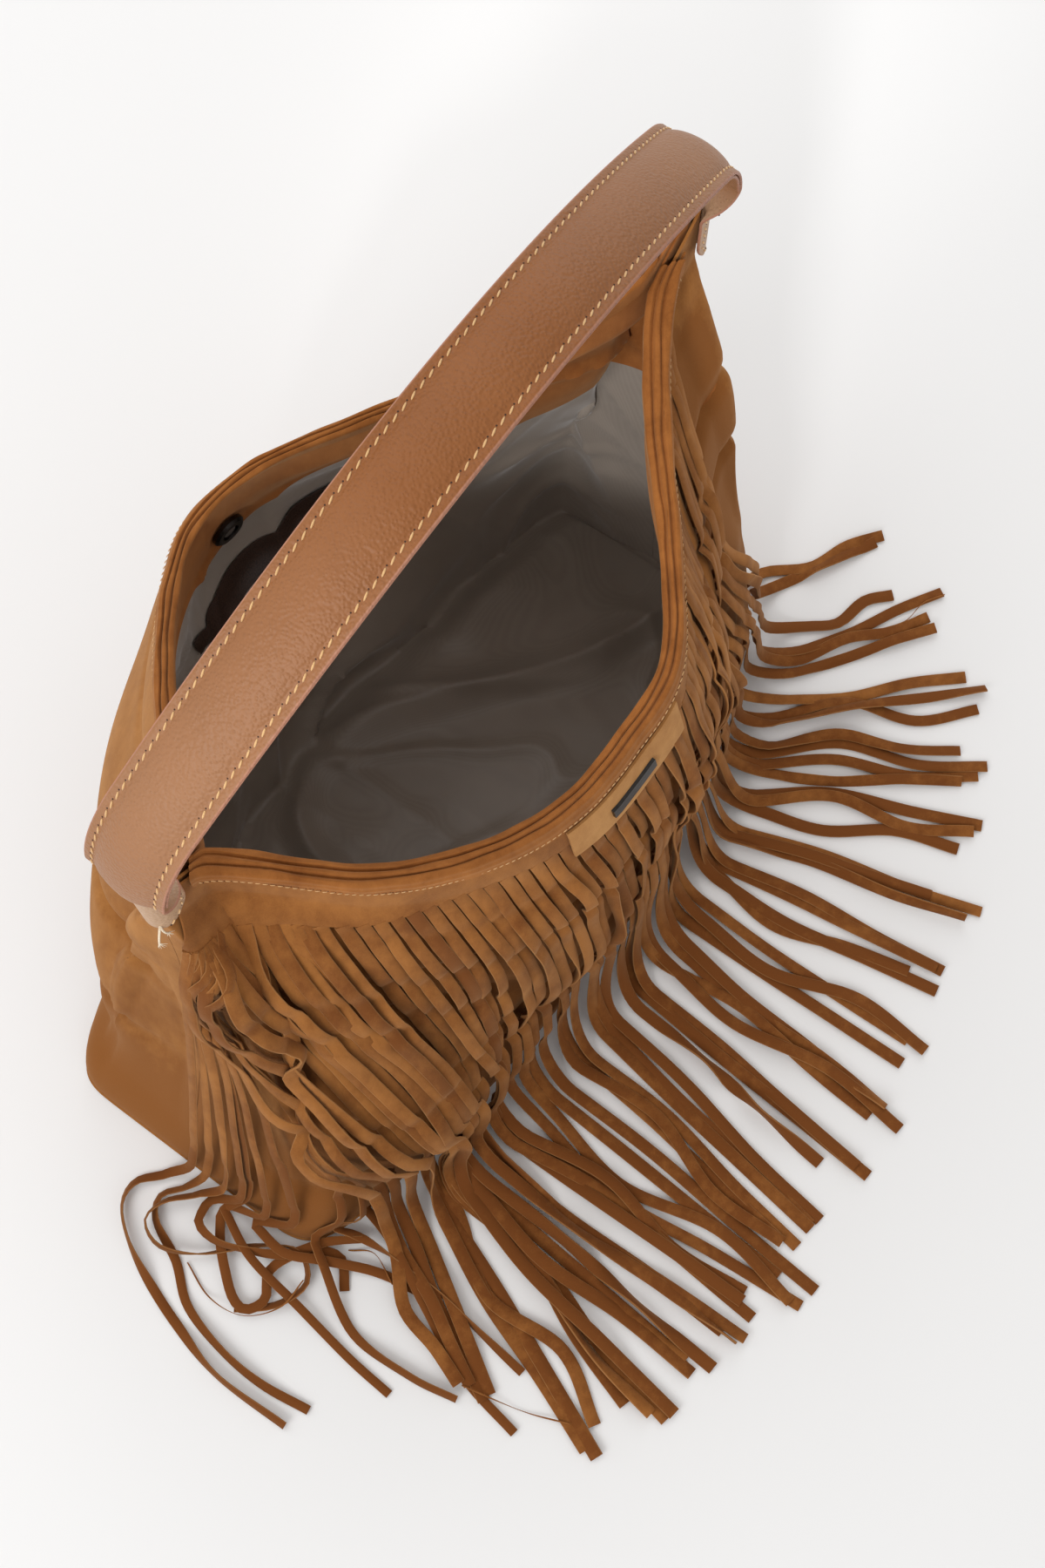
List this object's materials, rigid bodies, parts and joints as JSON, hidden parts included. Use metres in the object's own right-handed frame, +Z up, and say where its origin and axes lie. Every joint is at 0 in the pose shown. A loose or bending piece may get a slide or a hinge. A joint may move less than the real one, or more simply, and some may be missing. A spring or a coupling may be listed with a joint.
{
  "type": "fringed suede bag",
  "caption": "Open-topped suede shoulder bag on a flat base, with a wide crowned leather strap and a long cut fringe across the front.",
  "frame": {"origin": "on the underside of the base, below the middle of the strap", "axes": "+X along the bag towards one tip of the mouth, -Y towards the fringed front, +Z up"},
  "size_m": [0.5686, 0.428, 0.4796],
  "materials": {
    "suede": "caramel suede with a short nap, matt",
    "suede_facing": "caramel suede seen inside the mouth, matt",
    "lining_cloth": "taupe grey woven lining, soft sheen",
    "strap_leather": "smooth caramel leather with a fine pebble grain",
    "dark_leather": "dark brown leather",
    "dark_metal": "gunmetal plating",
    "bright_metal": "plain plated steel"
  },
  "bodies": {
    "root": {"front_panel": "suede", "back_panel": "suede", "base_panel": "suede", "fringe_panel": "suede", "name_tab": "suede", "front_binding": "suede", "back_binding": "suede", "front_facing": "suede_facing", "back_facing": "suede_facing", "lining": "lining_cloth", "strap_top": "strap_leather", "strap_underside": "strap_leather", "pocket_welt": "dark_leather", "tab_bar": "dark_metal", "snap_socket": "dark_metal", "snap_plate": "dark_metal", "snap_magnet": "bright_metal", "snap_stud": "bright_metal", "front_snap_washer": "bright_metal", "back_snap_washer": "bright_metal"}
  },
  "joints": []
}
